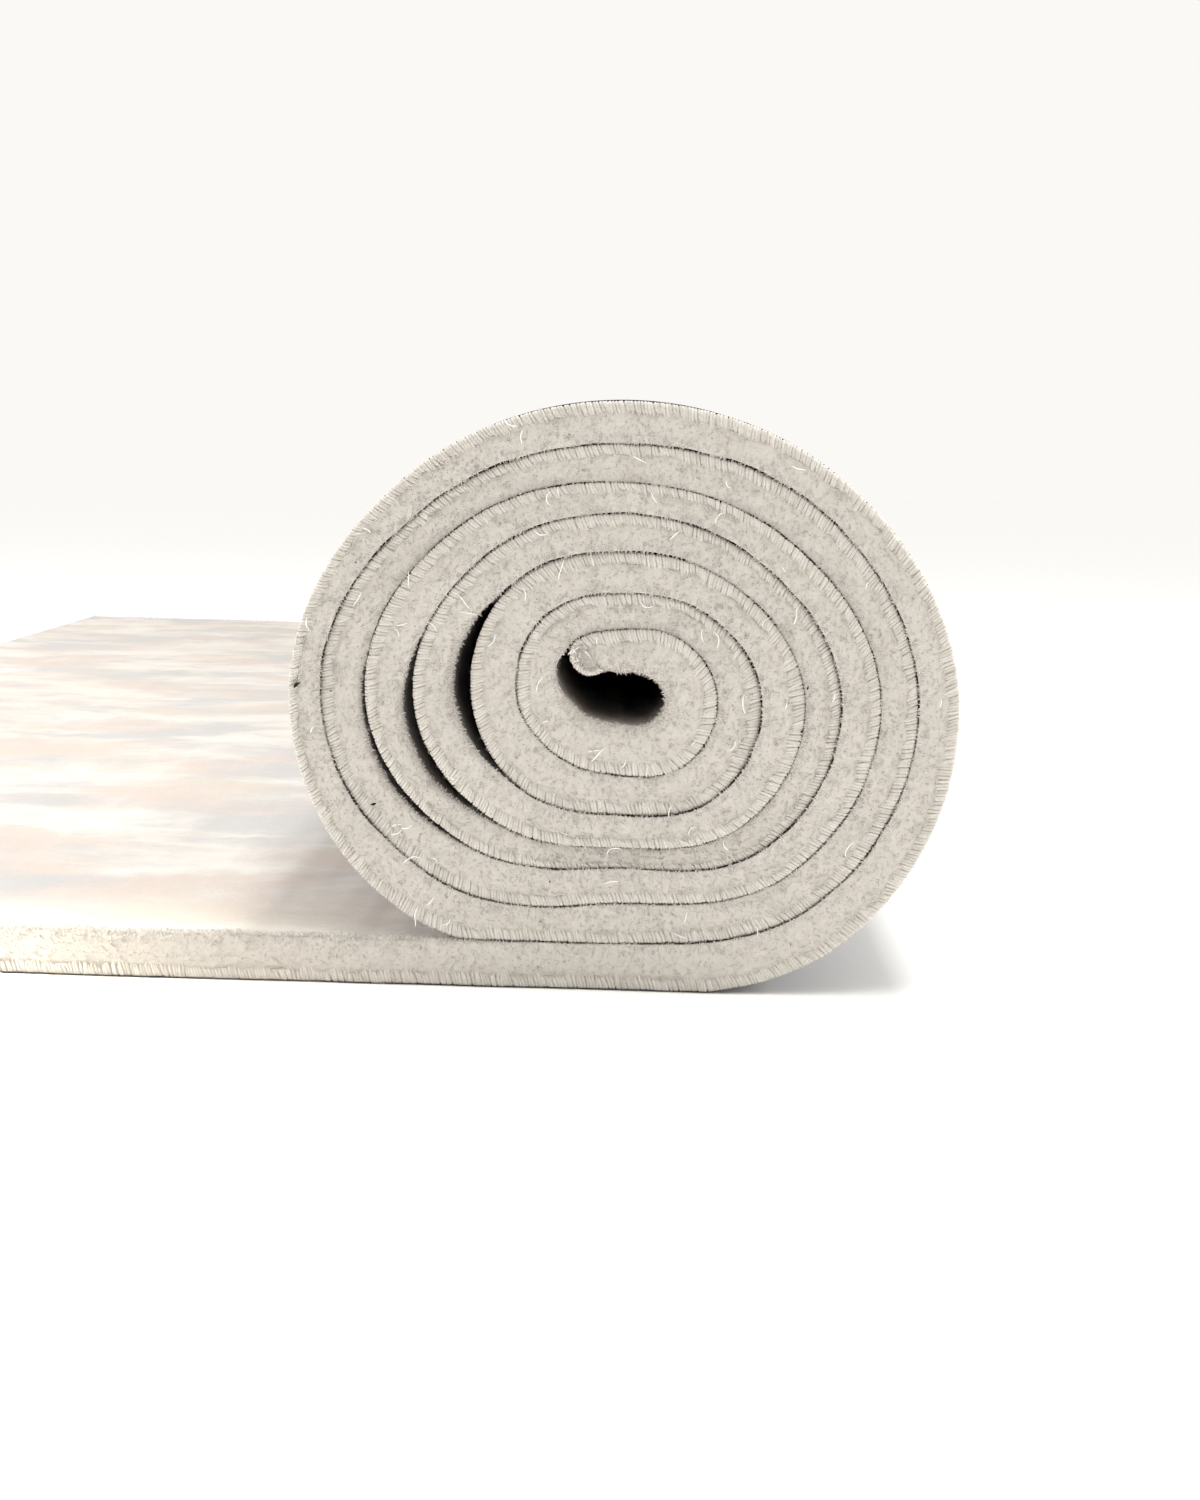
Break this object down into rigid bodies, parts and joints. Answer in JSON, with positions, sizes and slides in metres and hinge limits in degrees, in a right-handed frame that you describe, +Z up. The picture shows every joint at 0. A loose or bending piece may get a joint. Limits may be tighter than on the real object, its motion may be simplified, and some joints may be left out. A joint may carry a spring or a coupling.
{
  "type": "rolled up carpet",
  "caption": "Hand-tufted cut-pile carpet rolled up pile inwards round a narrow hollow, with its outer end lying flat on the floor.",
  "frame": {"origin": "middle of the underside of the whole object's box, on the floor", "axes": "+Z up; the roll's axis lies along Y, and the flat end runs out towards -X; it winds clockwise seen from -Y"},
  "size_m": [0.6144, 2, 0.1932],
  "materials": {
    "cut_pile_wool": "matt cut pile, pale beige with soft grey and white mottling",
    "whipped_edge_yarn": "cream wool yarn, overcast side by side",
    "backing_cloth": "dark plain-woven cotton cloth, matt"
  },
  "bodies": {
    "root": {"pile_field": "cut_pile_wool", "backing_cloth": "backing_cloth", "edge_yarn_near": "whipped_edge_yarn", "edge_yarn_far": "whipped_edge_yarn", "end_yarn_inner": "whipped_edge_yarn", "end_yarn_outer": "whipped_edge_yarn"}
  },
  "joints": []
}
